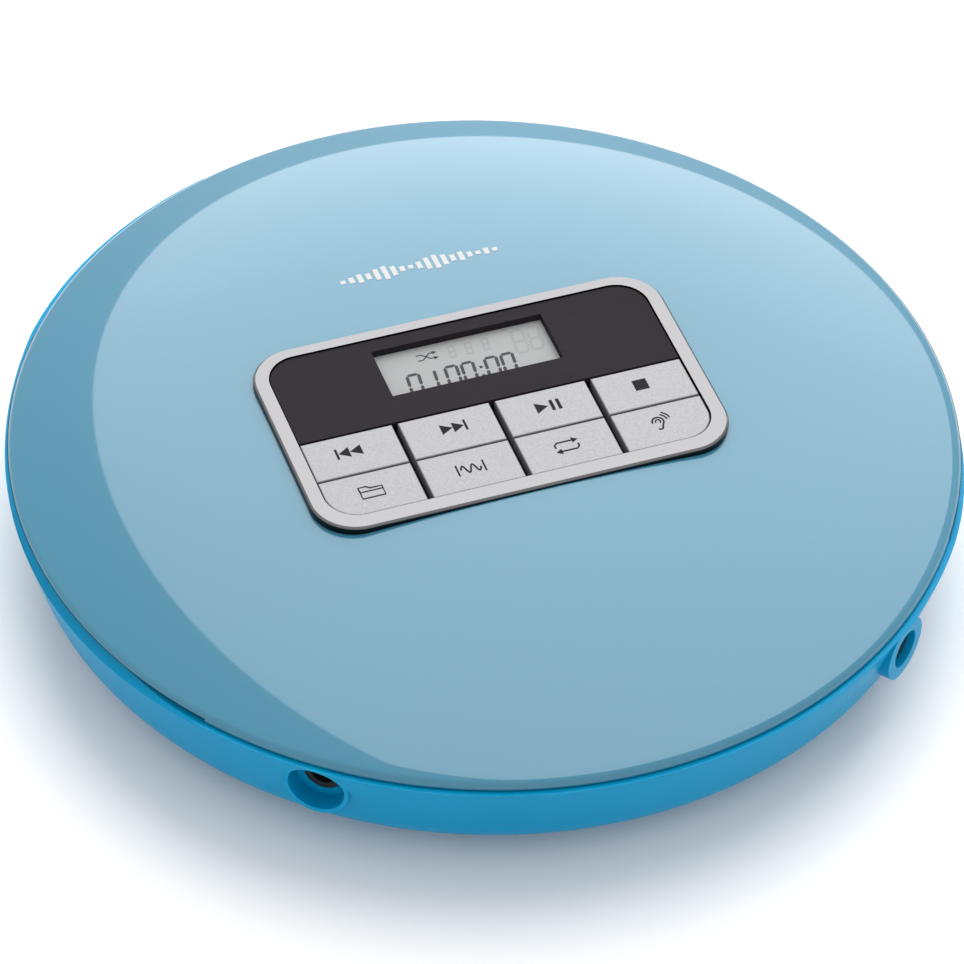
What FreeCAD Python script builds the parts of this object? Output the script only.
"""Portable disc player: a round shell with a hinged lid, a key panel and a disc mechanism.

Frame: origin at the middle of the footprint on the table, +Z up, front edge towards -Y,
hinge at the rear (+Y). The disc axis is the Z axis. All sizes are in millimetres.
"""

import FreeCAD, Part

import math
import os
import re
import Sketcher

from FreeCAD import Placement, Rotation, Vector

# ----------------------------------------------------------------------------------------
# Driving dimensions: each one can be set by itself.
# ----------------------------------------------------------------------------------------

DIMENSIONS = {
    # round shell
    "body_radius": 70.0,            # outer radius of the base at its top edge
    "rim_height": 18.0,             # table to the top edge of the base
    "corner_radius_inset": 3.4,     # how far the wall leans in from rim to bottom corner
    "corner_height": 5.6,           # table to the corner between wall and sloped bottom
    "bottom_bend": 6.0,             # bend radius between wall and sloped bottom
    "flat_inset": 11.5,             # from the body radius in to the flat bottom
    "floor_thickness": 2.2,
    "rim_width": 4.0,               # width of the base's top edge
    "wall_foot": 1.8,               # wall thickness at the bottom corner
    # feet
    "foot_proud": 0.6,
    "foot_recess": 0.7,
    "foot_radius": 4.0,
    "foot_circle": 47.0,
    "foot_angle": 42.0,
    # lid
    "seam_gap": 0.3,
    "lid_setback": 0.9,             # the lid is this much smaller in radius than the base
    "skirt_height": 0.92,
    "dome_rise": 7.2,
    "lid_wall": 1.6,
    "lid_edge_bend": 1.2,
    "finger_gap_height": 0.5,
    "finger_gap_half_angle": 36.5,
    "finger_scoop_width": 2.5,
    "finger_scoop_depth": 1.8,
    # disc bay
    "disc_well_radius": 61.2,
    "well_depth": 0.9,
    "deck_thickness": 1.0,
    "deck_clearance": 0.2,
    "disc_lift": 1.0,               # well floor to the disc's underside
    "hub_seat_radius": 14.5,
    "hub_boss_radius": 7.4,
    "hub_boss_height": 2.4,
    "hub_window_radius": 18.0,
    "lens_window_half": 11.5,
    # hinge
    "hinge_inset": 2.6,             # from the body radius in to the hinge axis
    "hinge_rise": -0.4,             # rim top up to the hinge axis, below it when negative
    "knuckle_radius": 1.3,
    "hinge_pin_radius": 0.6,
    "hinge_half_width": 12.0,
    "lid_knuckle_half": 6.7,
    "knuckle_gap": 0.3,
    "lid_web_reach": 2.2,           # knuckle's web, forward of the hinge axis
    "lid_web_height": 1.0,
    "hinge_relief_radius": 3.2,
    "hinge_relief_half": 22.0,
    "running_clearance": 0.05,
    # front catch
    "hook_half_width": 3.0,
    "hook_thickness": 1.1,
    "hook_depth": 2.6,
    # key panel
    "bezel_half_length": 31.5,
    "bezel_front": -20.7,
    "bezel_rear": 17.6,
    "bezel_side_bar": 2.3,
    "bezel_front_bar": 2.6,
    "bezel_rear_bar": 1.9,
    "bezel_corner": 6.8,
    "bezel_bevel": 0.35,
    "bezel_proud": 0.4,             # bezel top above the dome's highest point
    "key_recess": 0.2,
    "key_depth": 1.8,
    "key_travel": 0.4,
    "key_edge_gap": 0.2,
    "key_column_gap": 0.9,
    "key_row_gap": 0.3,
    "key_bevel": 0.2,
    "keypad_split": -1.85,          # middle of the gap between keys and display
    "display_plate": 1.2,
    "screen_half_length": 13.6,
    "screen_front": 3.0,
    "screen_rear": 13.7,
    "screen_corner": 1.0,
    "screen_bevel": 0.5,
    "mat_thickness": 0.5,
    "mat_dome_radius": 2.5,
    "mat_free_gap": 0.5,            # dome top to key, a little over the key travel
    "board_thickness": 1.2,
    "inner_cover_radius": 50.0,
    "board_room": 0.5,              # least room between the key board and the inner cover
    "inner_cover_thickness": 0.7,
    # screws
    "case_screw_radius": 1.1,
    "case_head_radius": 2.2,
    "case_head_height": 1.6,
    "case_post_radius": 3.0,
    "case_boss_radius": 3.9,
    "case_post_split": 10.0,        # height where deck posts meet base bosses
    "cover_screw_radius": 0.9,
    "cover_head_radius": 1.8,
    "panel_screw_radius": 0.6,
    "panel_head_radius": 1.0,
    "small_head_height": 0.8,
    # mechanism
    "chassis_half_width": 22.0,
    "chassis_front": -62.5,
    "chassis_rear": 18.0,
    "chassis_under": 13.0,          # height of the chassis plate's underside
    "chassis_thickness": 1.6,
    "chassis_corner": 8.0,
    "damper_radius": 3.6,
    "damper_height": 2.5,
    "damper_post_radius": 2.5,
    "damper_screw_radius": 1.1,
    "damper_rear_x": 26.5,
    "damper_rear_y": 13.0,
    "damper_front_x": 26.2,
    "damper_front_y": -48.0,
    "spindle_motor_radius": 11.0,
    "spindle_motor_height": 8.0,
    "spindle_shaft_radius": 1.0,
    "lens_start": 23.5,             # lens distance from the disc axis, innermost track
    "sled_travel": 32.5,
    "rod_radius": 1.0,
    "rod_spread": 17.0,             # guide rods' distance from the centre line
    "rod_height": 10.0,
    "sled_half_width": 12.0,
    "sled_under": 7.0,
    "sled_top": 12.0,
    "lens_holder_radius": 4.0,
    "lens_radius": 2.2,
    "focus_travel": 0.4,
    # sled drive
    "gear_module": 0.5,
    "pinion_teeth": 14.0,
    "wheel_teeth": 40.0,
    "motor_teeth": 12.0,
    "gear_thickness": 1.0,
    "rack_height": 1.8,
    "rack_lead": 2.6,               # rack past the pinion's axis at each end of the travel
    "rack_pitch_line": 21.5,        # distance of the rack's pitch line from the centre line
    "drive_gear_y": -24.0,
    "motor_bearing": 127.0,         # direction from drive gear to motor, degrees from +X
    "gear_backlash": 0.07,
    "gear_shaft_radius": 1.5,
    "sled_motor_radius": 6.0,
    "sled_motor_height": 8.0,
    # power
    "cell_radius": 7.1,
    "cell_length": 50.5,
    "cell_gap": 0.4,
    "contact_room": 1.2,            # length kept for the contacts at each end
    "bay_front": 21.6,
    "bay_wall": 1.2,
    "door_thickness": 1.2,
    "door_gap": 0.15,
    "door_tongue": 1.0,
    # jacks
    "phone_jack_angle": 39.2,       # left of the front
    "power_jack_angle": 38.0,       # right of the front
    "phone_jack_height": 13.8,
    "phone_jack_bore": 1.8,
    "phone_collar_radius": 4.8,
    "phone_recess_radius": 4.1,
    "phone_nose_radius": 2.8,
    "power_jack_height": 14.0,
    "power_jack_bore": 1.75,
    "power_collar_radius": 4.8,
    "power_recess_radius": 2.9,
    "power_nose_inset": 1.2,        # from the collar's face in to the socket's nose
    "power_pin_radius": 0.65,
    "jack_body_half": 3.6,
    "jack_face_inset": 6.5,         # from the body radius in to the jack bodies' faces
    "jack_body_length": 13.0,
    "jack_board_height": 9.4,
    "jack_board_thickness": 1.0,
    # main board
    "main_board_height": 3.4,
    "main_board_half": 38.0,
    "main_board_front": -42.0,
    "main_board_rear": 17.0,
}

# Sizes worked out from the driving ones. Each is used by name like a driving size.
FORMULAS = {
    # heights, table upwards
    "bottom_plane": "foot_proud",
    "floor_top": "bottom_plane + floor_thickness",
    "well_floor": "rim_height - well_depth",
    "deck_under": "well_floor - deck_thickness",
    "disc_under": "well_floor + disc_lift",
    "hub_top": "disc_under + hub_boss_height",
    "lid_bottom": "rim_height + seam_gap",
    "dome_edge": "lid_bottom + skirt_height",
    "dome_top": "dome_edge + dome_rise",
    "panel_top": "dome_top + bezel_proud",
    "key_top": "panel_top - key_recess",
    "key_under": "key_top - key_depth",
    "mat_top": "key_under - mat_free_gap - mat_dome_height",
    "mat_dome_height": "0.2",
    "mat_under": "mat_top - mat_thickness",
    "board_under": "mat_under - board_thickness",
    "display_under": "key_top - display_plate",
    "chassis_top": "chassis_under + chassis_thickness",
    # radii and distances
    "flat_radius": "body_radius - flat_inset",
    "corner_radius": "body_radius - corner_radius_inset",
    "rim_inner": "body_radius - rim_width",
    "wall_inner_foot": "corner_radius - wall_foot",
    "deck_radius": "rim_inner - deck_clearance",
    "lid_radius": "body_radius - lid_setback",
    "lid_inner": "lid_radius - lid_wall",
    "inner_dome_top": "dome_top - lid_wall",
    "cover_seat": "inner_dome_top - dome_rise * (inner_cover_radius / lid_inner)^3",
    "cover_top": "min(cover_seat; board_under - board_room)",
    "cover_under": "cover_top - inner_cover_thickness",
    "hinge_y": "body_radius - hinge_inset",
    "hinge_z": "rim_height + hinge_rise",
    # key panel
    "window_half": "bezel_half_length - bezel_side_bar",
    "window_front": "bezel_front + bezel_front_bar",
    "window_rear": "bezel_rear - bezel_rear_bar",
    "window_corner": "bezel_corner - bezel_rear_bar",
    "key_length": "(2 * window_half - 2 * key_edge_gap - 3 * key_column_gap) / 4",
    "key_depth_y": "(keypad_split - window_front - key_edge_gap - 1.5 * key_row_gap) / 2",
    "key_corner": "window_corner - key_edge_gap",
    # mechanism
    "lens_end": "lens_start + sled_travel",
    "spindle_motor_under": "chassis_under - spindle_motor_height",
    "damper_under": "chassis_under - damper_height",
    "rack_face": "rack_pitch_line - 1.25 * gear_module - 1.475",
    "pinion_pitch": "gear_module * pinion_teeth / 2",
    "wheel_pitch": "gear_module * wheel_teeth / 2",
    "motor_pitch": "gear_module * motor_teeth / 2",
    "drive_gear_x": "-rack_pitch_line - pinion_pitch",
    "motor_x": "drive_gear_x + (wheel_pitch + motor_pitch) * cos(motor_bearing)",
    "motor_y": "drive_gear_y + (wheel_pitch + motor_pitch) * sin(motor_bearing)",
    "rack_under": "rod_height - rack_height / 2",
    # power
    "bay_half": "cell_length / 2 + contact_room",
    "bay_rear": "bay_front + 4 * cell_radius + cell_gap + 0.6",
    "cell_height": "bottom_plane + door_thickness + 0.1 + cell_radius",
    "first_cell_y": "bay_front + 0.3 + cell_radius",
    "second_cell_y": "first_cell_y + 2 * cell_radius + cell_gap",
    # jacks
    "jack_face": "body_radius - jack_face_inset",
    "phone_recess_floor": "jack_face + 2.8",
    "jack_board_top": "jack_board_height + jack_board_thickness",
}

CASE_SCREWS = [          # (side of the centre line as a share of body radius, y share)
    (0.774, 0.137),
    (0.643, -0.45),
    (0.514, 0.60),
]
KEY_NAMES = [            # front row then rear row, left to right
    ["key_folder", "key_antishock", "key_mode", "key_sound"],
    ["key_previous", "key_next", "key_play_pause", "key_stop"],
]

doc = FreeCAD.newDocument("disc_player")
sheet = doc.addObject("Spreadsheet::Sheet", "dims")
SUB_PARTS = []


def fill_sheet():
    """Write one row a driving size: its name, its value and its alias."""
    for row, (alias, size) in enumerate(DIMENSIONS.items(), start=1):
        sheet.set(f"A{row}", alias)
        sheet.set(f"B{row}", str(size))
        sheet.setAlias(f"B{row}", alias)
    doc.recompute()


def resolve(text):
    """Turn a formula in plain names into an expression on the sheet's cells."""
    def replace(match):
        word = match.group(0)
        if word in DIMENSIONS:
            return f"dims.{word}"
        if word in FORMULAS:
            return f"({resolve(FORMULAS[word])})"
        return word
    return re.sub(r"[a-z_][a-z_0-9]*", replace, str(text))


def value(text):
    """The number that a formula gives with the sheet as it is."""
    return float(sheet.evalExpression(resolve(text)))


def bind(item, **formulas):
    """Bind properties of a document object to formulas."""
    for name, formula in formulas.items():
        item.setExpression(name, resolve(formula))


def place(item, x="0", y="0", z="0"):
    """Bind an object's position."""
    for axis, formula in (("x", x), ("y", y), ("z", z)):
        item.setExpression(f".Placement.Base.{axis}", resolve(formula))


def keep(item, label):
    """Mark an object as a finished sub-part: its label names its file."""
    item.Label = label
    SUB_PARTS.append(item)
    return item


# ----------------------------------------------------------------------------------------
# Building blocks
# ----------------------------------------------------------------------------------------

def box(name, x, y, z):
    """A block between two formulas on each axis."""
    item = doc.addObject("Part::Box", name)
    bind(item,
         Length=f"({x[1]}) - ({x[0]})",
         Width=f"({y[1]}) - ({y[0]})",
         Height=f"({z[1]}) - ({z[0]})")
    place(item, x[0], y[0], z[0])
    return item


TURN_TO_AXIS = {
    "X": Rotation(Vector(0, 1, 0), 90),
    "Y": Rotation(Vector(1, 0, 0), -90),
    "Z": Rotation(),
}


def rod(name, radius, axis, start, end, x="0", y="0", z="0"):
    """A cylinder along an axis from start to end, at the other two coordinates."""
    item = doc.addObject("Part::Cylinder", name)
    item.Placement = Placement(Vector(), TURN_TO_AXIS[axis])
    bind(item, Radius=radius, Height=f"({end}) - ({start})")
    spot = {"x": x, "y": y, "z": z}
    spot[axis.lower()] = start
    place(item, **spot)
    return item


def ball(name, radius, x, y, z):
    """A sphere about a point."""
    item = doc.addObject("Part::Sphere", name)
    bind(item, Radius=radius)
    place(item, x, y, z)
    return item


def cone(name, low_radius, high_radius, start, end, x="0", y="0"):
    """An upright cone frustum."""
    item = doc.addObject("Part::Cone", name)
    bind(item, Radius1=low_radius, Radius2=high_radius, Height=f"({end}) - ({start})")
    place(item, x, y, start)
    return item


def fuse(name, *items):
    """One solid from several that touch or overlap."""
    item = doc.addObject("Part::MultiFuse", name)
    item.Shapes = list(items)
    item.Refine = True
    return item


def cut(name, base, *tools):
    """A solid less the tools."""
    tool = tools[0] if len(tools) == 1 else fuse(f"{name}_tools", *tools)
    item = doc.addObject("Part::Cut", name)
    item.Base = base
    item.Tool = tool
    return item


def common(name, first, second):
    """What two solids share."""
    item = doc.addObject("Part::Common", name)
    item.Base = first
    item.Tool = second
    return item


def group(name, *items):
    """Separate solids that share one node."""
    item = doc.addObject("Part::Compound", name)
    item.Links = list(items)
    return item


def turn_about_z(item, angle):
    """Turn a finished object about the disc axis by a formula in degrees."""
    item.Placement = Placement(Vector(), Rotation(Vector(0, 0, 1), 1))
    item.setExpression(".Placement.Rotation.Angle", resolve(angle))


def closed_sketch(body, name, plane_role, corners):
    """A closed polygon whose corners are bound to formulas."""
    sketch = body.newObject("Sketcher::SketchObject", name)
    plane = [item for item in body.Origin.OriginFeatures if item.Role == plane_role][0]
    sketch.AttachmentSupport = [(plane, "")]
    sketch.MapMode = "FlatFace"
    points = [Vector(value(a), value(b), 0) for a, b in corners]
    count = len(points)
    for index in range(count):
        sketch.addGeometry(Part.LineSegment(points[index], points[(index + 1) % count]), False)
    for index in range(count):
        sketch.addConstraint(
            Sketcher.Constraint("Coincident", index, 2, (index + 1) % count, 1))
    for index, (a, b) in enumerate(corners):
        for kind, formula, size in (("DistanceX", a, points[index].x),
                                    ("DistanceY", b, points[index].y)):
            number = sketch.addConstraint(
                Sketcher.Constraint(kind, -1, 1, index, 1, float(size)))
            label = f"{kind}_{index}"
            sketch.renameConstraint(number, label)
            sketch.setExpression(f"Constraints.{label}", resolve(formula))
    return sketch


def turned(name, corners):
    """A body of revolution about the disc axis from (radius, height) corners."""
    body = doc.addObject("PartDesign::Body", name)
    sketch = closed_sketch(body, f"{name}_profile", "XZ_Plane", corners)
    turn = body.newObject("PartDesign::Revolution", f"{name}_turn")
    turn.Profile = sketch
    turn.ReferenceAxis = (sketch, ["V_Axis"])
    turn.Angle = 360
    doc.recompute()
    return body


def plate(name, x, y, z):
    """A rectangular pad between formulas, with its sketch on the ground plane."""
    body = doc.addObject("PartDesign::Body", name)
    corners = [(x[0], y[0]), (x[1], y[0]), (x[1], y[1]), (x[0], y[1])]
    sketch = closed_sketch(body, f"{name}_outline", "XY_Plane", corners)
    pad = body.newObject("PartDesign::Pad", f"{name}_pad")
    pad.Profile = sketch
    bind(pad, Length=f"({z[1]}) - ({z[0]})")
    place(body, "0", "0", z[0])
    doc.recompute()
    return body


def edges_where(shape, test):
    """Names of the edges whose shape passes a test."""
    return [f"Edge{number}" for number, edge in enumerate(shape.Edges, start=1) if test(edge)]


def dress(body, kind, name, test, size):
    """Add a fillet or chamfer feature on the tip's edges that pass a test."""
    tip = body.Tip
    names = edges_where(tip.Shape, test)
    feature = body.newObject(f"PartDesign::{kind}", name)
    feature.Base = (tip, names)
    bind(feature, **{"Radius" if kind == "Fillet" else "Size": size})
    doc.recompute()
    return body


def upright_at(points):
    """Test for upright edges that stand at one of the given (x, y) formulas."""
    spots = [(value(x), value(y)) for x, y in points]

    def test(edge):
        ends = [vertex.Point for vertex in edge.Vertexes]
        if len(ends) != 2 or abs(ends[0].z - ends[1].z) < 1e-6:
            return False
        return any(abs(ends[0].x - x) < 1e-4 and abs(ends[0].y - y) < 1e-4
                   and abs(ends[1].x - x) < 1e-4 and abs(ends[1].y - y) < 1e-4
                   for x, y in spots)
    return test


def circle_of(radius, height):
    """Test for a circular edge about the disc axis."""
    def test(edge):
        curve = edge.Curve
        return (isinstance(curve, Part.Circle)
                and abs(curve.Radius - value(radius)) < 1e-4
                and abs(curve.Center.z - value(height)) < 1e-4)
    return test


def flat_at(height):
    """Test for edges that lie wholly at one height in the body's own frame."""
    def test(edge):
        box_of_edge = edge.BoundBox
        return (abs(box_of_edge.ZMin - value(height)) < 1e-4
                and abs(box_of_edge.ZMax - value(height)) < 1e-4)
    return test


def both_sides(make):
    """Run a maker for the left (-1) and right (+1) side and return both results."""
    return [make("left", -1), make("right", 1)]


# ----------------------------------------------------------------------------------------
# Lid
# ----------------------------------------------------------------------------------------

def dome_solid(name, radius, foot, edge, top, bend):
    """A solid cap: upright skirt, rounded edge and a dome that is flat in the middle.

    The dome's section is a cubic, z = top - rise * (r / radius)^3, as one Bezier curve.
    The rounded edge takes up at most the height of the skirt.
    """
    crown = Part.BezierCurve()
    crown.setPoles([Vector(0, 0, top), Vector(radius / 3, 0, top),
                    Vector(2 * radius / 3, 0, top), Vector(radius, 0, edge)])
    outline = Part.Wire([
        crown.toShape(),
        Part.makeLine(Vector(radius, 0, edge), Vector(radius, 0, foot)),
        Part.makeLine(Vector(radius, 0, foot), Vector(0, 0, foot)),
        Part.makeLine(Vector(0, 0, foot), Vector(0, 0, top)),
    ])
    solid = Part.Face(outline).revolve(Vector(), Vector(0, 0, 1), 360)
    if bend > 0:
        slope = math.atan(3 * (top - edge) / radius)
        wall_limit = (edge - foot) / math.tan((math.pi / 2 - slope) / 2)
        bend = min(bend, 0.97 * wall_limit)
        rim = [item for item in solid.Edges
               if abs(item.BoundBox.ZMin - edge) < 1e-4 and abs(item.BoundBox.ZMax - edge) < 1e-4]
        solid = solid.makeFillet(bend, rim)
    item = doc.addObject("Part::Feature", name)
    item.Shape = solid
    item.Placement = Placement()
    return item


def lid_parts():
    """The domed lid with its hinge knuckle and hook, the inner cover and its screws."""
    outer = dome_solid("lid_outer", value("lid_radius"), value("lid_bottom"),
                       value("dome_edge"), value("dome_top"), value("lid_edge_bend"))
    inner = dome_solid("lid_hollow", value("lid_inner"), value("lid_bottom - 1"),
                       value("dome_edge - lid_wall"), value("inner_dome_top"), 0)
    panel_hole = rounded_prism("lid_panel_hole", "0", "board_under - 2", "panel_top + 2")

    def knuckle_room(side, sign):
        near, far = "lid_knuckle_half", "hinge_half_width + knuckle_gap"
        span = (near, far) if sign > 0 else (f"-({far})", f"-({near})")
        return rod(f"lid_knuckle_room_{side}", "knuckle_radius + knuckle_gap", "X",
                   *span, y="hinge_y", z="hinge_z")

    def finger_gap(side, sign):
        item = rod(f"lid_finger_gap_{side}", "body_radius + 2", "Z",
                   "lid_bottom - 1", "lid_bottom + finger_gap_height")
        bind(item, Angle="2 * finger_gap_half_angle")
        item.Placement = Placement(Vector(), Rotation(Vector(0, 0, 1), 1))
        start = "-finger_gap_half_angle" if sign > 0 else "180 - finger_gap_half_angle"
        item.setExpression(".Placement.Rotation.Angle", resolve(start))
        item.setExpression(".Placement.Base.z", resolve("lid_bottom - 1"))
        return item

    shell = cut("lid_skin", outer, inner, panel_hole,
                *both_sides(knuckle_room), *both_sides(finger_gap))
    knuckle = rod("lid_knuckle", "knuckle_radius", "X",
                  "-lid_knuckle_half", "lid_knuckle_half", y="hinge_y", z="hinge_z")
    web = box("lid_knuckle_web", ("-lid_knuckle_half", "lid_knuckle_half"),
              ("hinge_y - lid_web_reach", "hinge_y"),
              ("lid_bottom", "lid_bottom + lid_web_height"))
    hook = box("lid_hook", ("-hook_half_width", "hook_half_width"),
               ("-lid_inner - 0.5", "-lid_inner - 0.5 + hook_thickness"),
               ("lid_bottom - hook_depth", "dome_edge - 0.6"))
    bosses = []
    screws = []
    for number, (x, y) in enumerate(cover_screw_spots()):
        bosses.append(rod(f"cover_boss_{number}", "cover_screw_radius + 1.7", "Z",
                          "cover_top", "cover_top + 2", x, y))
        screws.append(screw(f"cover_screw_{number}", "cover_screw_radius", "cover_head_radius",
                            "small_head_height", "cover_under", "cover_top + 1.6", x, y))
    bore = rod("lid_knuckle_bore", "hinge_pin_radius + running_clearance", "X",
               "-lid_knuckle_half - 1", "lid_knuckle_half + 1", y="hinge_y", z="hinge_z")
    pilots = [rod(f"cover_pilot_{number}", "cover_screw_radius", "Z",
                  "cover_top - 1", "cover_top + 1.6", x, y)
              for number, (x, y) in enumerate(cover_screw_spots())]
    keep(cut("lid_shell_solid", fuse("lid_blank", shell, knuckle, web, hook, *bosses),
             bore, *pilots), "lid_shell")

    cover = rod("cover_blank", "inner_cover_radius", "Z", "cover_under", "cover_top")
    holes = [rod(f"cover_hole_{number}", "cover_screw_radius", "Z",
                 "cover_under - 1", "cover_top + 1", x, y)
             for number, (x, y) in enumerate(cover_screw_spots())]
    keep(cut("inner_cover", cover, *holes), "lid_inner_cover")
    keep(group("cover_screw_set", *screws), "inner_cover_screws")


def cover_screw_spots():
    """Four places on a circle, clear of the key panel."""
    reach = "(inner_cover_radius - 6) * 0.7071"
    return [(f"{a}{reach}", f"{b}{reach}") for a in ("", "-") for b in ("", "-")]


def screw(name, shank, head, head_height, head_top, tip, x, y):
    """A screw that points up: its head hangs below head_top, its shank ends at tip."""
    return fuse(name,
                rod(f"{name}_head", head, "Z", f"({head_top}) - ({head_height})", head_top, x, y),
                rod(f"{name}_shank", shank, "Z", head_top, tip, x, y))


# ----------------------------------------------------------------------------------------
# Key panel
# ----------------------------------------------------------------------------------------

def rounded_prism(name, inset, low, high):
    """An upright prism on the bezel's outline, inset all round."""
    x = (f"-bezel_half_length + {inset}", f"bezel_half_length - {inset}")
    y = (f"bezel_front + {inset}", f"bezel_rear - {inset}")
    body = plate(name, x, y, (low, high))
    corners = [(a, b) for a in x for b in y]
    dress(body, "Fillet", f"{name}_corners", upright_at(corners), f"bezel_corner - {inset}")
    return body


def panel_parts():
    """Bezel, display plate, screen, rubber mat, board and their screws."""
    frame = rounded_prism("bezel_blank", "0", "mat_top", "panel_top")
    dress(frame, "Chamfer", "bezel_bevel_edge", flat_at("panel_top - mat_top"), "bezel_bevel")
    window_x = ("-window_half", "window_half")
    window_y = ("window_front", "window_rear")
    window = plate("bezel_window", window_x, window_y, ("mat_top - 1", "panel_top + 1"))
    dress(window, "Fillet", "bezel_window_corners",
          upright_at([(a, b) for a in window_x for b in window_y]), "window_corner")
    pilots = [rod(f"panel_pilot_{number}", "panel_screw_radius", "Z",
                  "board_under", "panel_top - 1", x, y)
              for number, (x, y) in enumerate(panel_screw_spots())]
    keep(cut("bezel_solid", frame, window, *pilots), "bezel_frame")

    plate_x = ("-window_half + key_edge_gap", "window_half - key_edge_gap")
    plate_y = ("keypad_split + key_row_gap / 2", "window_rear - key_edge_gap")
    surround = plate("display_blank", plate_x, plate_y, ("display_under", "key_top"))
    dress(surround, "Fillet", "display_corners",
          upright_at([(a, plate_y[1]) for a in plate_x]), "key_corner")
    screen_x = ("-screen_half_length", "screen_half_length")
    screen_y = ("screen_front", "screen_rear")
    opening = plate("screen_opening", screen_x, screen_y, ("display_under - 1", "key_top"))
    dress(opening, "Fillet", "screen_corners",
          upright_at([(a, b) for a in screen_x for b in screen_y]), "screen_corner")
    keep(cut("display_solid", surround, screen_cutter(opening)), "display_surround")

    keep(box("screen", ("-screen_half_length - 1.8", "screen_half_length + 1.8"),
             ("screen_front - 1.6", "screen_rear + 1.2"), ("mat_under", "display_under")),
         "lcd_module")

    mat = rounded_prism("mat_blank", "key_edge_gap", "mat_under", "mat_top")
    screen_room = box("mat_screen_room", ("-screen_half_length - 2", "screen_half_length + 2"),
                      ("screen_front - 1.8", "screen_rear + 1.4"),
                      ("mat_under - 1", "mat_top + 1"))
    mat_holes = [rod(f"mat_hole_{number}", "panel_screw_radius", "Z",
                     "mat_under - 1", "mat_top + 1", x, y)
                 for number, (x, y) in enumerate(panel_screw_spots())]
    domes = [cone(f"mat_dome_{row}{column}", "mat_dome_radius", "mat_dome_radius - 0.6",
                  "mat_top", "mat_top + mat_dome_height", *key_centre(row, column))
             for row in range(2) for column in range(4)]
    keep(fuse("mat_solid", cut("mat_web", mat, screen_room, *mat_holes), *domes), "keypad_mat")

    board = rounded_prism("key_board_blank", "key_edge_gap", "board_under", "mat_under")
    board_holes = [rod(f"key_board_hole_{number}", "panel_screw_radius", "Z",
                       "board_under - 1", "mat_under + 1", x, y)
                   for number, (x, y) in enumerate(panel_screw_spots())]
    keep(cut("key_board_solid", board, *board_holes), "key_board")
    screws = [screw(f"panel_screw_{number}", "panel_screw_radius", "panel_head_radius",
                    "0.4", "board_under", "panel_top - 1", x, y)
              for number, (x, y) in enumerate(panel_screw_spots())]
    keep(group("panel_screw_set", *screws), "key_board_screws")
    keep(box("ribbon", ("-6", "6"), ("bezel_rear - 8", "inner_cover_radius - 5"),
             ("board_under - 0.2", "board_under")), "lid_ribbon")


def screen_cutter(opening):
    """The screen opening with its sides leaning out to the top face."""
    dress(opening, "Chamfer", "screen_bevel_edge", flat_at("key_top - display_under + 1"),
          "screen_bevel")
    flipped_height = value("display_under - 1") + value("key_top")
    solid = opening.Shape.copy()
    solid.rotate(Vector(0, value("(screen_front + screen_rear) / 2"), flipped_height / 2),
                 Vector(0, 1, 0), 180)
    item = doc.addObject("Part::Feature", "screen_cutter_solid")
    item.Shape = solid
    item.Placement = Placement()
    lower = box("screen_cutter_straight",
                ("-screen_half_length + screen_bevel", "screen_half_length - screen_bevel"),
                ("screen_front + screen_bevel", "screen_rear - screen_bevel"),
                ("display_under - 1", "key_top + 1"))
    return fuse("screen_cutter", lower, item)


def panel_screw_spots():
    """Six places along the middle of the bezel's bars."""
    side = "(bezel_half_length + window_half) / 2"
    middle = "(bezel_front + bezel_rear) / 2"
    front = "(bezel_front + window_front) / 2"
    rear = "(bezel_rear + window_rear) / 2"
    reach = "bezel_half_length / 2"
    return [(f"-{side}", middle), (side, middle),
            (f"-{reach}", front), (reach, front),
            (f"-{reach}", rear), (reach, rear)]


def key_span(row, column):
    """The x and y formulas that a key lies between."""
    left = f"(-window_half + key_edge_gap + {column} * (key_length + key_column_gap))"
    front = f"(window_front + key_edge_gap + {row} * (key_depth_y + key_row_gap))"
    return (left, f"{left} + key_length"), (front, f"{front} + key_depth_y")


def key_centre(row, column):
    """The middle of a key."""
    x, y = key_span(row, column)
    return f"({x[0]} + key_length / 2)", f"({y[0]} + key_depth_y / 2)"


def key_parts():
    """Eight keys in two rows; the outer front ones follow the window's corners."""
    for row, names in enumerate(KEY_NAMES):
        for column, name in enumerate(names):
            x, y = key_span(row, column)
            body = plate(f"{name}_body", x, y, ("key_under", "key_top"))
            if row == 0 and column in (0, 3):
                outer = x[0] if column == 0 else x[1]
                dress(body, "Fillet", f"{name}_corner", upright_at([(outer, y[0])]),
                      "key_corner")
            dress(body, "Fillet", f"{name}_edge", flat_at("key_depth"), "key_bevel")
            keep(body, name)


# ----------------------------------------------------------------------------------------
# Base
# ----------------------------------------------------------------------------------------

def case_screw_spots():
    """Six places for the case screws, three each side."""
    return [(f"{sign}body_radius * {x}", f"body_radius * {y}")
            for sign in ("", "-") for x, y in CASE_SCREWS]


def foot_spots():
    """Four places for the feet."""
    x = "foot_circle * cos(foot_angle)"
    y = "foot_circle * sin(foot_angle)"
    return [(f"{a}{x}", f"{b}{y}") for a in ("", "-") for b in ("", "-")]


def damper_spots():
    """Four places where the mechanism rests on rubber."""
    return [(f"{sign}damper_rear_x", "damper_rear_y") for sign in ("", "-")] + \
           [(f"{sign}damper_front_x", "damper_front_y") for sign in ("", "-")]


def jack_collar(name, radius, height, reach, angle):
    """A collar through the wall, made at the front and turned to its place."""
    item = rod(name, radius, "Y", "-jack_face", reach, z=height)
    bind(item, Height=f"({reach}) - jack_face")
    item.Placement = Placement(Vector(), Rotation(Vector(1, 0, 0), 90))
    place(item, "0", "-jack_face", height)
    holder = group(f"{name}_turned", item)
    turn_about_z(holder, angle)
    return holder


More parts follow.
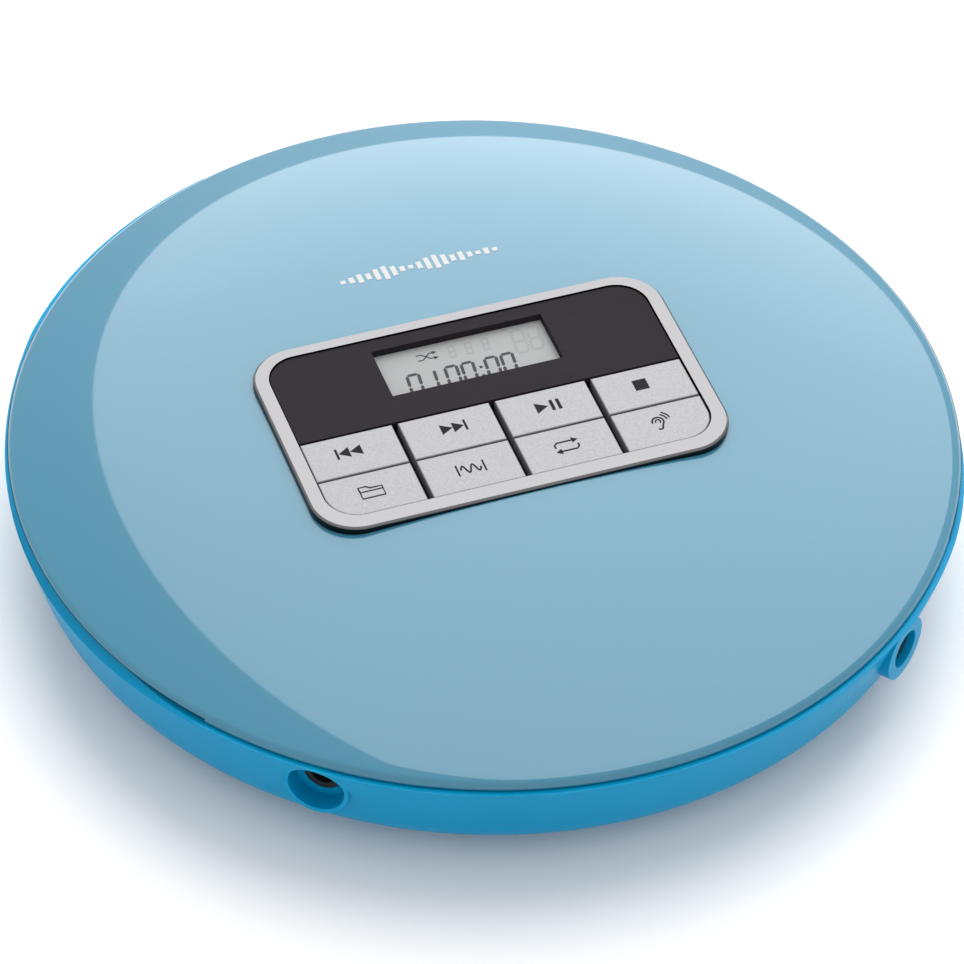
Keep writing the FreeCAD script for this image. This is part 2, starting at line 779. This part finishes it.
def base_parts():
    """The base shell with its bosses, bay, knuckles and jack collars."""
    hull = turned("base_hull", [
        ("0", "bottom_plane"), ("flat_radius", "bottom_plane"),
        ("corner_radius", "corner_height"), ("body_radius", "rim_height"),
        ("0", "rim_height")])
    dress(hull, "Fillet", "base_bottom_bend", circle_of("corner_radius", "corner_height"),
          "bottom_bend")
    hollow = turned("base_hollow", [
        ("0", "floor_top"), ("flat_radius - 0.6", "floor_top"),
        ("wall_inner_foot", "corner_height + 1"), ("rim_inner", "deck_under - 1.5"),
        ("rim_inner", "rim_height + 1"), ("0", "rim_height + 1")])
    skin = cut("base_skin", hull, hollow)

    solids = [skin]
    cuts = []
    for number, (x, y) in enumerate(case_screw_spots()):
        solids.append(rod(f"case_boss_{number}", "case_boss_radius", "Z",
                          "bottom_plane + 1", "case_post_split", x, y))
        cuts.append(rod(f"case_head_room_{number}", "case_head_radius + 0.2", "Z",
                        "bottom_plane - 1", "floor_top + 0.4", x, y))
        cuts.append(rod(f"case_hole_{number}", "case_screw_radius + 0.1", "Z",
                        "floor_top", "case_post_split + 1", x, y))
    for number, (x, y) in enumerate(foot_spots()):
        cuts.append(rod(f"foot_room_{number}", "foot_radius", "Z",
                        "bottom_plane - 1", "bottom_plane + foot_recess", x, y))
    for number, (x, y) in enumerate(damper_spots()):
        solids.append(rod(f"damper_post_{number}", "damper_post_radius", "Z",
                          "floor_top - 0.5", "damper_under", x, y))
        cuts.append(rod(f"damper_pilot_{number}", "damper_screw_radius", "Z",
                        "damper_under - 5", "damper_under + 1", x, y))
    for number, (x, y) in enumerate(board_support_spots()):
        solids.append(rod(f"board_support_{number}", "3", "Z",
                          "floor_top - 0.5", "main_board_height", x, y))

    bay_wall = cut("bay_wall_ring",
                   box("bay_outer", ("-bay_half - bay_wall", "bay_half + bay_wall"),
                       ("bay_front - bay_wall", "bay_rear + bay_wall"),
                       ("floor_top - 0.5", "deck_under")),
                   box("bay_inner", ("-bay_half", "bay_half"), ("bay_front", "bay_rear"),
                       ("bottom_plane", "deck_under + 1")))
    solids.append(bay_wall)
    cuts.append(box("bay_floor_hole", ("-bay_half", "bay_half"), ("bay_front", "bay_rear"),
                    ("bottom_plane - 1", "floor_top + 1")))
    cuts.append(box("door_channel", ("-bay_half - door_gap", "bay_half + door_gap"),
                    ("bay_front", "body_radius"),
                    ("bottom_plane - 1", "bottom_plane + door_thickness + 0.1")))
    cuts.append(box("door_grooves",
                    ("-bay_half - door_tongue - door_gap", "bay_half + door_tongue + door_gap"),
                    ("bay_front", "body_radius"),
                    ("bottom_plane + door_thickness / 2 - 0.1",
                     "bottom_plane + door_thickness + 0.1")))

    solids.append(jack_collar("phone_collar", "phone_collar_radius", "phone_jack_height",
                              "body_radius - 0.9", "-phone_jack_angle"))
    solids.append(jack_collar("power_collar", "power_collar_radius", "power_jack_height",
                              "body_radius", "power_jack_angle"))
    cuts.append(rod("deck_seat", "rim_inner", "Z", "deck_under - 0.1", "rim_height + 5"))
    cuts.append(box("above_rim", ("-body_radius - 1", "body_radius + 1"),
                    ("-body_radius - 1", "hinge_y - 8"), ("rim_height", "rim_height + 5")))
    cuts.append(jack_hole("phone_recess", "phone_recess_radius", "phone_jack_height",
                          "phone_recess_floor", "-phone_jack_angle"))
    cuts.append(jack_hole("phone_hole", "phone_nose_radius", "phone_jack_height",
                          "jack_face - 1", "-phone_jack_angle"))
    cuts.append(jack_hole("power_hole", "power_recess_radius", "power_jack_height",
                          "jack_face - 1", "power_jack_angle"))

    cuts.append(box("hook_slot", ("-hook_half_width - 0.4", "hook_half_width + 0.4"),
                    ("-lid_inner - 0.9", "-lid_inner - 0.1 + hook_thickness"),
                    ("lid_bottom - hook_depth - 0.6", "rim_height + 1")))
    cuts.extend(both_sides(finger_scoop))
    relief = common("hinge_relief",
                    rod("hinge_relief_round", "hinge_relief_radius", "X",
                        "-hinge_relief_half", "hinge_relief_half", y="hinge_y", z="hinge_z"),
                    box("hinge_relief_zone", ("-hinge_relief_half", "hinge_relief_half"),
                        ("hinge_y - 2.2", "body_radius + 4"), ("rim_height - 8", "rim_height + 8")))
    cuts.append(relief)
    blank = cut("base_blank", fuse("base_solids", *solids), *cuts)

    def knuckle(side, sign):
        near, far = "lid_knuckle_half + knuckle_gap", "hinge_half_width"
        span = (near, far) if sign > 0 else (f"-({far})", f"-({near})")
        barrel = rod(f"base_knuckle_{side}", "knuckle_radius", "X", *span,
                     y="hinge_y", z="hinge_z")
        web = box(f"base_knuckle_web_{side}", span, ("hinge_y - knuckle_radius", "hinge_y + 0.4"),
                  ("rim_height - 5", "hinge_z"))
        return fuse(f"base_knuckle_solid_{side}", barrel, web)

    pin_hole = rod("hinge_pin_hole", "hinge_pin_radius", "X",
                   "-hinge_half_width - 1", "hinge_half_width + 1", y="hinge_y", z="hinge_z")
    keep(cut("base_shell_solid", fuse("base_with_knuckles", blank, *both_sides(knuckle)),
             pin_hole), "base_shell")
    keep(rod("hinge_pin_rod", "hinge_pin_radius", "X", "-hinge_half_width",
             "hinge_half_width", y="hinge_y", z="hinge_z"), "hinge_pin")

    feet = [rod(f"foot_{number}", "foot_radius", "Z", "0", "bottom_plane + foot_recess", x, y)
            for number, (x, y) in enumerate(foot_spots())]
    keep(group("foot_set", *feet), "rubber_feet")


def board_support_spots():
    """Four low posts under the main board."""
    x = "(main_board_half - 6)"
    return [(f"{sign}{x}", y) for sign in ("", "-")
            for y in ("main_board_front + 5", "main_board_rear - 12")]


def jack_hole(name, radius, height, start, angle):
    """A round hole outward through the wall, turned to its place."""
    item = rod(name, radius, "Y", start, "body_radius + 4", z=height)
    item.Placement = Placement(Vector(), Rotation(Vector(1, 0, 0), 90))
    place(item, "0", f"-({start})", height)
    holder = group(f"{name}_turned", item)
    turn_about_z(holder, angle)
    return holder


def finger_scoop(side, sign):
    """A crescent cut with a sloped floor in the base's top edge."""
    spread = "body_radius * cos(finger_gap_half_angle)"
    shift = (f"(2 * body_radius * finger_scoop_width - finger_scoop_width^2) / "
             f"(2 * body_radius - 2 * finger_scoop_width - 2 * {spread})")
    keep_radius = f"(body_radius - finger_scoop_width + {shift})"
    low = "rim_height - finger_scoop_depth"
    core = cone(f"scoop_core_{side}", f"{keep_radius} + finger_scoop_depth", keep_radius,
                low, "rim_height", x=f"{-sign} * ({shift})")
    slab_x = ("0", "body_radius + 2") if sign > 0 else ("-body_radius - 2", "0")
    slab = box(f"scoop_slab_{side}", slab_x, ("-body_radius", "body_radius"),
               (low, "rim_height"))
    return cut(f"scoop_{side}", slab, core)


def deck_parts():
    """The deck with its disc well, posts and mechanism window, and the case screws."""
    disc = turned("deck_disc", [
        ("0", "deck_under"), ("deck_radius", "deck_under"), ("deck_radius", "rim_height"),
        ("disc_well_radius", "rim_height"), ("disc_well_radius", "well_floor"),
        ("0", "well_floor")])
    hub_window = rod("hub_window", "hub_window_radius", "Z", "deck_under - 1", "rim_height + 1")
    lens_window = box("lens_window", ("-lens_window_half", "lens_window_half"),
                      ("-lens_end - lens_holder_radius", "0"),
                      ("deck_under - 1", "rim_height + 1"))
    posts = []
    pilots = []
    screws = []
    for number, (x, y) in enumerate(case_screw_spots()):
        posts.append(rod(f"deck_post_{number}", "case_post_radius", "Z",
                         "case_post_split", "deck_under + 0.2", x, y))
        pilots.append(rod(f"deck_pilot_{number}", "case_screw_radius", "Z",
                          "case_post_split - 1", "deck_under - 1", x, y))
        screws.append(screw(f"case_screw_{number}", "case_screw_radius", "case_head_radius",
                            "case_head_height", "floor_top + 0.4", "deck_under - 1", x, y))
    prong_slot = box("deck_switch_slot", ("body_radius * 0.8 - 1.5", "body_radius * 0.8 + 1.5"),
                     ("-body_radius * 0.2 - 3", "-body_radius * 0.2 + 3"),
                     ("deck_under - 1", "rim_height + 1"))
    phone_room = jack_hole("deck_phone_room", "phone_nose_radius + deck_clearance",
                           "phone_jack_height", "jack_face - 1", "-phone_jack_angle")
    power_room = jack_hole("deck_power_room", "power_recess_radius + deck_clearance",
                           "power_jack_height", "jack_face - 1", "power_jack_angle")
    hinge_room = rod("deck_hinge_room", "knuckle_radius + deck_clearance", "X",
                     "-hinge_half_width - 1", "hinge_half_width + 1", y="hinge_y", z="hinge_z")
    keep(cut("deck_solid", fuse("deck_blank", disc, *posts), hub_window, lens_window,
             prong_slot, phone_room, power_room, hinge_room, *pilots), "disc_deck")
    keep(group("case_screw_set", *screws), "case_screws")
    keep(box("switch", ("body_radius * 0.8 - 3", "body_radius * 0.8 + 3"),
             ("-body_radius * 0.2 - 4.5", "-body_radius * 0.2 + 4.5"),
             ("deck_under - 4", "deck_under")), "lid_switch")


# ----------------------------------------------------------------------------------------
# Disc mechanism
# ----------------------------------------------------------------------------------------

def chassis_parts():
    """The mechanism's plate on its dampers, with the rods' end lugs."""
    edges_x = ("-chassis_half_width", "chassis_half_width")
    slab = plate("chassis_plate", edges_x, ("chassis_front", "chassis_rear"),
                 ("chassis_under", "chassis_top"))
    dress(slab, "Fillet", "chassis_corners",
          upright_at([(x, "chassis_front") for x in edges_x]), "chassis_corner")
    span = ("chassis_under", "chassis_top")
    solids = [slab]
    for number, (x, y) in enumerate(damper_spots()):
        solids.append(rod(f"chassis_ear_{number}", "damper_radius + 0.8", "Z", *span, x, y))
    for place_name in ("rear", "front"):
        solids.append(box(f"chassis_arms_{place_name}",
                          (f"-damper_{place_name}_x", f"damper_{place_name}_x"),
                          (f"damper_{place_name}_y - damper_radius",
                           f"damper_{place_name}_y + damper_radius"), span))
    wing = box("chassis_wing", ("motor_x - sled_motor_radius", "-chassis_half_width + 1"),
               ("drive_gear_y - 6", "motor_y + sled_motor_radius"), span)
    solids.append(wing)
    for side, sign in (("left", "-"), ("right", "")):
        x = (f"{sign}rod_spread - 1.8", f"{sign}rod_spread + 1.8")
        solids.append(box(f"front_lug_{side}", x, ("chassis_front + 1.2", "chassis_front + 3.5"),
                          ("rod_height - 1.6", "chassis_under")))
        solids.append(box(f"rear_lug_{side}", x, ("chassis_rear - 3", "chassis_rear"),
                          ("rod_height - 1.6", "chassis_under")))
    cuts = [
        box("chassis_lens_window", ("-lens_window_half", "lens_window_half"),
            ("-lens_end - lens_holder_radius", "-spindle_motor_radius - 2"),
            ("chassis_under - 1", "chassis_top + 1")),
        rod("chassis_shaft_hole", "spindle_shaft_radius + 0.4", "Z",
            "chassis_under - 1", "chassis_top + 1"),
        rod("chassis_gear_bearing", "gear_shaft_radius + running_clearance", "Z",
            "chassis_under - 1", "chassis_top + 1", "drive_gear_x", "drive_gear_y"),
        rod("chassis_motor_hole", "1.5", "Z",
            "chassis_under - 1", "chassis_top + 1", "motor_x", "motor_y"),
    ]
    for number, (x, y) in enumerate(damper_spots()):
        cuts.append(rod(f"chassis_ear_hole_{number}", "damper_screw_radius", "Z",
                        "chassis_under - 1", "chassis_top + 1", x, y))
    for side, sign in (("left", "-"), ("right", "")):
        cuts.append(rod(f"rod_seat_{side}", "rod_radius", "Y", "chassis_front + 1.8",
                        "chassis_rear - 0.8", x=f"{sign}rod_spread", z="rod_height"))
        keep(rod(f"rod_{side}", "rod_radius", "Y", "chassis_front + 1.8",
                 "chassis_rear - 0.8", x=f"{sign}rod_spread", z="rod_height"),
             f"guide_rod_{side}")
    keep(cut("chassis_solid", fuse("chassis_blank", *solids), *cuts), "mechanism_chassis")

    rings = []
    screws = []
    for number, (x, y) in enumerate(damper_spots()):
        ring = rod(f"damper_ring_{number}", "damper_radius", "Z", "damper_under",
                   "chassis_under", x, y)
        hole = rod(f"damper_ring_hole_{number}", "damper_screw_radius", "Z",
                   "damper_under - 1", "chassis_under + 1", x, y)
        rings.append(cut(f"damper_{number}", ring, hole))
        head = rod(f"damper_screw_head_{number}", "damper_screw_radius + 1.1", "Z",
                   "chassis_top", "chassis_top + 0.9", x, y)
        shank = rod(f"damper_screw_shank_{number}", "damper_screw_radius", "Z",
                    "damper_under - 4.5", "chassis_top", x, y)
        screws.append(fuse(f"damper_screw_{number}", head, shank))
    keep(group("damper_set", *rings), "damper_grommets")
    keep(group("damper_screw_set", *screws), "damper_screws")


def turntable_parts():
    """The spindle motor, its shaft and the hub that carries the disc."""
    can = rod("spindle_can", "spindle_motor_radius", "Z", "spindle_motor_under",
              "chassis_under")
    can_hole = rod("spindle_can_hole", "spindle_shaft_radius + running_clearance", "Z",
                   "spindle_motor_under + 2", "chassis_under + 1")
    keep(cut("spindle_motor_solid", can, can_hole), "spindle_motor")
    keep(rod("spindle", "spindle_shaft_radius", "Z", "spindle_motor_under + 2.2",
             "disc_under - 0.5"), "spindle_shaft")
    hub = turned("hub_blank", [
        ("0", "chassis_top + 0.8"), ("hub_boss_radius", "chassis_top + 0.8"),
        ("hub_seat_radius", "disc_under - 1.2"), ("hub_seat_radius", "disc_under"),
        ("hub_boss_radius", "disc_under"), ("hub_boss_radius", "hub_top - 0.9"),
        ("hub_boss_radius - 1.4", "hub_top"), ("0", "hub_top")])
    shaft_hole = rod("hub_shaft_hole", "spindle_shaft_radius", "Z", "chassis_top",
                     "disc_under - 0.5")
    balls = []
    seats = []
    for number in range(3):
        x = f"(hub_boss_radius - 0.75) * cos({120 * number + 90})"
        y = f"(hub_boss_radius - 0.75) * sin({120 * number + 90})"
        balls.append(ball(f"hub_ball_{number}", "1", x, y, "disc_under + 1.4"))
        seats.append(ball(f"hub_ball_seat_{number}", "1", x, y, "disc_under + 1.4"))
    keep(cut("hub_solid", hub, shaft_hole, *seats), "disc_hub")
    keep(group("hub_ball_set", *balls), "hub_balls")


def pickup_parts():
    """The sled on its two rods, its rack, and the floating lens."""
    block = box("sled_block", ("-sled_half_width", "sled_half_width"),
                ("-lens_start - 5.5", "-lens_start + 6"), ("sled_under", "sled_top"))
    bearing = rod("sled_bearing", "rod_radius + 1.6", "Y", "-lens_start - 1",
                  "-lens_start + 17", x="rod_spread", z="rod_height")
    right_arm = box("sled_right_arm", ("sled_half_width - 1", "rod_spread"),
                    ("-lens_start - 1", "-lens_start + 6"), ("rod_height - 2", "sled_top"))
    left_arm = box("sled_left_arm", ("-rack_face", "-sled_half_width + 1"),
                   ("-lens_start - 1", "-lens_start + 6"), ("rod_height - 2", "sled_top"))
    bearing_bore = rod("sled_bearing_bore", "rod_radius + running_clearance", "Y",
                       "-lens_start - 2", "-lens_start + 18", x="rod_spread", z="rod_height")
    fork = box("sled_fork", ("-rod_spread - rod_radius - 0.1", "-rod_spread + rod_radius + 0.1"),
               ("-lens_start - 2", "-lens_start + 7"),
               ("rod_height - rod_radius - 0.1", "rod_height + rod_radius + 0.1"))
    well = rod("sled_laser_well", "2.5", "Z", "sled_top - 2", "sled_top + 1",
               y="-lens_start")
    keep(cut("sled_solid", fuse("sled_blank", block, bearing, right_arm, left_arm),
             bearing_bore, fork, well), "pickup_sled")
    keep(rod("laser", "2.5", "Z", "sled_top - 2", "sled_top", y="-lens_start"), "laser_unit")
    keep(rod("holder", "lens_holder_radius", "Z", "sled_top + focus_travel + 0.2",
             "deck_under - 0.2", y="-lens_start"), "lens_holder")
    lens_base = "deck_under - 0.2"
    dome = ball("lens_ball", "lens_radius * 1.6", "0", "-lens_start",
                f"{lens_base} - lens_radius * 1.25")
    lens_zone = rod("lens_zone", "lens_radius", "Z", lens_base, "disc_under", y="-lens_start")
    keep(common("lens_solid", dome, lens_zone), "objective_lens")


def involute_profile(teeth, module, backlash, phase, segments=6):
    """Corner points of a spur gear with 20 degree involute flanks.

    A tooth is centred on the phase angle, in degrees.
    """
    pressure = math.radians(20)
    pitch = module * teeth / 2
    base = pitch * math.cos(pressure)
    tip = pitch + module
    root = pitch - 1.25 * module
    half_tooth = math.pi / (2 * teeth) - backlash / (2 * pitch)
    involute_at_pitch = math.tan(pressure) - pressure

    def half_angle(radius):
        if radius <= base:
            return half_tooth + involute_at_pitch
        angle = math.acos(base / radius)
        return half_tooth + involute_at_pitch - (math.tan(angle) - angle)

    start = max(root, base)
    radii = [start + (tip - start) * step / segments for step in range(segments + 1)]
    points = []
    for tooth in range(int(teeth)):
        middle = math.radians(phase) + 2 * math.pi * tooth / teeth
        flank = [(root, half_angle(start))] if root < start else []
        flank += [(radius, half_angle(radius)) for radius in radii]
        points += [(radius, middle - angle) for radius, angle in flank]
        points += [(radius, middle + angle) for radius, angle in reversed(flank)]
    return [Vector(radius * math.cos(angle), radius * math.sin(angle), 0)
            for radius, angle in points]


def gear(name, teeth, phase, low, high, bore, x, y, hub_radius=None, hub_low=None):
    """A spur gear about an upright axis, with a bore or an optional shaft below."""
    points = involute_profile(value(teeth), value("gear_module"), value("gear_backlash"), phase)
    face = Part.Face(Part.makePolygon(points + points[:1]))
    solid = face.extrude(Vector(0, 0, value(f"({high}) - ({low})")))
    if bore is not None:
        solid = solid.cut(Part.makeCylinder(value(bore), value(f"({high}) - ({low})") + 2,
                                            Vector(0, 0, -1)))
    if hub_radius is not None:
        shaft = Part.makeCylinder(value(hub_radius), value(f"({low}) - ({hub_low})"),
                                  Vector(0, 0, -value(f"({low}) - ({hub_low})")))
        solid = solid.fuse(shaft)
    item = doc.addObject("Part::Feature", name)
    item.Shape = solid
    item.Placement = Placement(Vector(value(x), value(y), value(low)), Rotation())
    return item


def rack_solid():
    """A straight rack along Y on the sled's left face, a tooth space facing the pinion."""
    module = value("gear_module")
    pitch = math.pi * module
    backlash = value("gear_backlash")
    pitch_line = -value("rack_pitch_line")
    tip = pitch_line - module
    root = pitch_line + 1.25 * module
    slope = math.tan(math.radians(20))
    gear_y = value("drive_gear_y")
    lead = value("rack_lead")
    first = -math.ceil(lead / pitch)
    last = first + math.ceil((value("sled_travel") + 2 * lead) / pitch)
    points = []
    for number in range(first, last):
        centre = gear_y + (number + 0.5) * pitch
        half = pitch / 4 - backlash / 2
        points += [
            Vector(root, centre - half - 1.25 * module * slope, 0),
            Vector(tip, centre - half + module * slope, 0),
            Vector(tip, centre + half - module * slope, 0),
            Vector(root, centre + half + 1.25 * module * slope, 0),
        ]
    back = -value("rack_face")
    points += [Vector(back, points[-1].y, 0), Vector(back, points[0].y, 0)]
    face = Part.Face(Part.makePolygon(points + points[:1]))
    item = doc.addObject("Part::Feature", "rack_bar")
    item.Shape = face.extrude(Vector(0, 0, value("rack_height")))
    item.Placement = Placement(Vector(0, 0, value("rack_under")), Rotation())
    return item


def sled_drive_parts():
    """The rack, the drive gear pair and the motor with its pinion."""
    keep(rack_solid(), "sled_rack")
    pinion = gear("pinion_solid", "pinion_teeth", 0.0, "rack_under - 0.2",
                  "rack_under + rack_height + 0.2", None, "drive_gear_x", "drive_gear_y")
    shaft = rod("pinion_shaft", "gear_shaft_radius", "Z", "rack_under + rack_height",
                "chassis_top + 0.3 + gear_thickness", "drive_gear_x", "drive_gear_y")
    keep(fuse("drive_pinion_solid", pinion, shaft), "drive_pinion")
    wheel_low = "chassis_top + 0.3"
    wheel_high = f"{wheel_low} + gear_thickness"
    bearing = value("motor_bearing")
    keep(gear("wheel_solid", "wheel_teeth", bearing, wheel_low, wheel_high,
              "gear_shaft_radius", "drive_gear_x", "drive_gear_y"), "drive_wheel")
    half_pitch = 180.0 / value("motor_teeth")
    keep(gear("motor_pinion_solid", "motor_teeth", bearing + 180 + half_pitch,
              wheel_low, wheel_high, None, "motor_x", "motor_y",
              hub_radius="0.75", hub_low="chassis_under - 1.8"), "motor_pinion")
    can = rod("sled_motor_can", "sled_motor_radius", "Z", "chassis_under - sled_motor_height",
              "chassis_under", "motor_x", "motor_y")
    can_hole = rod("sled_motor_hole", "0.75 + running_clearance", "Z", "chassis_under - 2",
                   "chassis_under + 1", "motor_x", "motor_y")
    keep(cut("sled_motor_solid", can, can_hole), "sled_motor")


# ----------------------------------------------------------------------------------------
# Boards, jacks and battery bay
# ----------------------------------------------------------------------------------------

def board_parts():
    """The main board with its chips and the small board under each jack."""
    top = "main_board_height + board_thickness"
    board = box("main_board_blank", ("-main_board_half", "main_board_half"),
                ("main_board_front", "main_board_rear"), ("main_board_height", top))
    holes = [rod(f"board_post_room_{number}", "damper_post_radius + 0.6", "Z",
                 "main_board_height - 1", f"{top} + 1", x, y)
             for number, (x, y) in enumerate(damper_spots())]
    keep(cut("main_board_solid", board, *holes), "main_board")
    chips = [box("decoder_chip", ("20", "32"), ("-16", "-4"), (top, f"{top} + 1.4")),
             box("motor_driver_chip", ("21", "29"), ("-32", "-24"), (top, f"{top} + 1.2")),
             box("memory_chip", ("14", "26"), ("-1", "5"), (top, f"{top} + 1.0")),
             box("micro_chip", ("-34", "-24"), ("-2", "6"), (top, f"{top} + 1.2"))]
    keep(group("chip_set", *chips), "board_chips")
    cans = [rod(f"capacitor_{number}", "2.0", "Z", top, f"{top} + 5.4",
                "35", f"{-12 + 6 * number}") for number in range(3)]
    keep(group("capacitor_set", *cans), "capacitors")


def jack_parts():
    """The headphone jack on the left of the front and the power jack on the right."""
    for name, angle, height, bore, nose, front in (
            ("headphone_jack", "-phone_jack_angle", "phone_jack_height", "phone_jack_bore",
             "phone_nose_radius - 0.05", "-phone_recess_floor"),
            ("power_jack", "power_jack_angle", "power_jack_height", "power_jack_bore",
             "power_recess_radius - 0.05", "-body_radius + power_nose_inset")):
        block = box(f"{name}_block", ("-jack_body_half", "jack_body_half"),
                    ("-jack_face", "-jack_face + jack_body_length"),
                    ("jack_board_top", "deck_under - 0.2"))
        barrel = rod(f"{name}_nose", nose, "Y", front, "-jack_face", z=height)
        hole = rod(f"{name}_bore", bore, "Y", f"{front} - 1",
                   "-jack_face + jack_body_length - 2", z=height)
        body = cut(f"{name}_solid", fuse(f"{name}_blank", block, barrel), hole)
        turn_about_z(body, angle)
        keep(body, name)
        board = box(f"{name}_board_solid", ("-jack_body_half - 1.5", "jack_body_half + 1.5"),
                    ("-jack_face + 2.5", "-jack_face + jack_body_length + 2"),
                    ("jack_board_height", "jack_board_top"))
        turned_board = group(f"{name}_board_turned", board)
        turn_about_z(turned_board, angle)
        keep(turned_board, f"{name}_board")
    pin = rod("power_pin_rod", "power_pin_radius", "Y", "-jack_face + 0.5",
              "-jack_face + jack_body_length - 2", z="power_jack_height")
    holder = group("power_pin_turned", pin)
    turn_about_z(holder, "power_jack_angle")
    keep(holder, "power_jack_pin")


def power_parts():
    """The battery door and the contacts at both ends of the bay."""
    door_y = ("bay_front + door_gap", "bay_rear - door_gap")
    panel = box("door_panel", ("-bay_half", "bay_half"), door_y,
                ("bottom_plane", "bottom_plane + door_thickness"))
    tongues = box("door_tongues", ("-bay_half - door_tongue", "bay_half + door_tongue"), door_y,
                  ("bottom_plane + door_thickness / 2", "bottom_plane + door_thickness"))
    grip = box("door_grip", ("-8", "8"), ("bay_rear - 6", "bay_rear - 3"),
               ("bottom_plane - 1", "bottom_plane + 0.5"))
    keep(cut("door_solid", fuse("door_blank", panel, tongues), grip), "battery_door")

    plates = []
    springs = []
    for side, sign in (("left", "-"), ("right", "")):
        wall = ("-bay_half", "-bay_half + 0.3") if sign == "-" else ("bay_half - 0.3", "bay_half")
        for number, y in enumerate(("first_cell_y", "second_cell_y")):
            plates.append(box(f"contact_{side}_{number}", wall, (f"{y} - 5", f"{y} + 5"),
                              ("cell_height - 5", "cell_height + 5")))
    for number, (y, wall, tip) in enumerate((
            ("first_cell_y", "-bay_half + 0.3", "-bay_half + 1.0"),
            ("second_cell_y", "bay_half - 1.0", "bay_half - 0.3"))):
        outer = rod(f"contact_spring_outer_{number}", "3.4", "X", wall, tip,
                    y=y, z="cell_height")
        inner = rod(f"contact_spring_inner_{number}", "2.6", "X", f"{wall} - 1", f"{tip} + 1",
                    y=y, z="cell_height")
        springs.append(cut(f"contact_spring_{number}", outer, inner))
    keep(group("contact_plate_set", *plates), "battery_contacts")
    keep(group("contact_spring_set", *springs), "contact_springs")


# ----------------------------------------------------------------------------------------
# Build, check and write
# ----------------------------------------------------------------------------------------

def write_parts():
    """Check every object, then write one file a sub-part."""
    doc.recompute()
    for item in doc.Objects:
        if "Invalid" in item.State or "Error" in item.State:
            raise RuntimeError(f"{item.Label} failed to build: {item.State}")
    for item in SUB_PARTS:
        shape = item.Shape
        if shape.isNull() or not shape.isValid() or not shape.Solids:
            raise RuntimeError(f"{item.Label} has no valid solid")
    os.makedirs("parts", exist_ok=True)
    for item in SUB_PARTS:
        item.Shape.exportStep(f"parts/{item.Label}.step")
        print(f"{item.Label:22s} {len(item.Shape.Solids):2d} solid(s) "
              f"{item.Shape.Volume:10.1f} mm3")


def main():
    """Build the player from the sheet up."""
    fill_sheet()
    lid_parts()
    panel_parts()
    key_parts()
    base_parts()
    deck_parts()
    chassis_parts()
    turntable_parts()
    pickup_parts()
    sled_drive_parts()
    board_parts()
    jack_parts()
    power_parts()
    write_parts()


main()
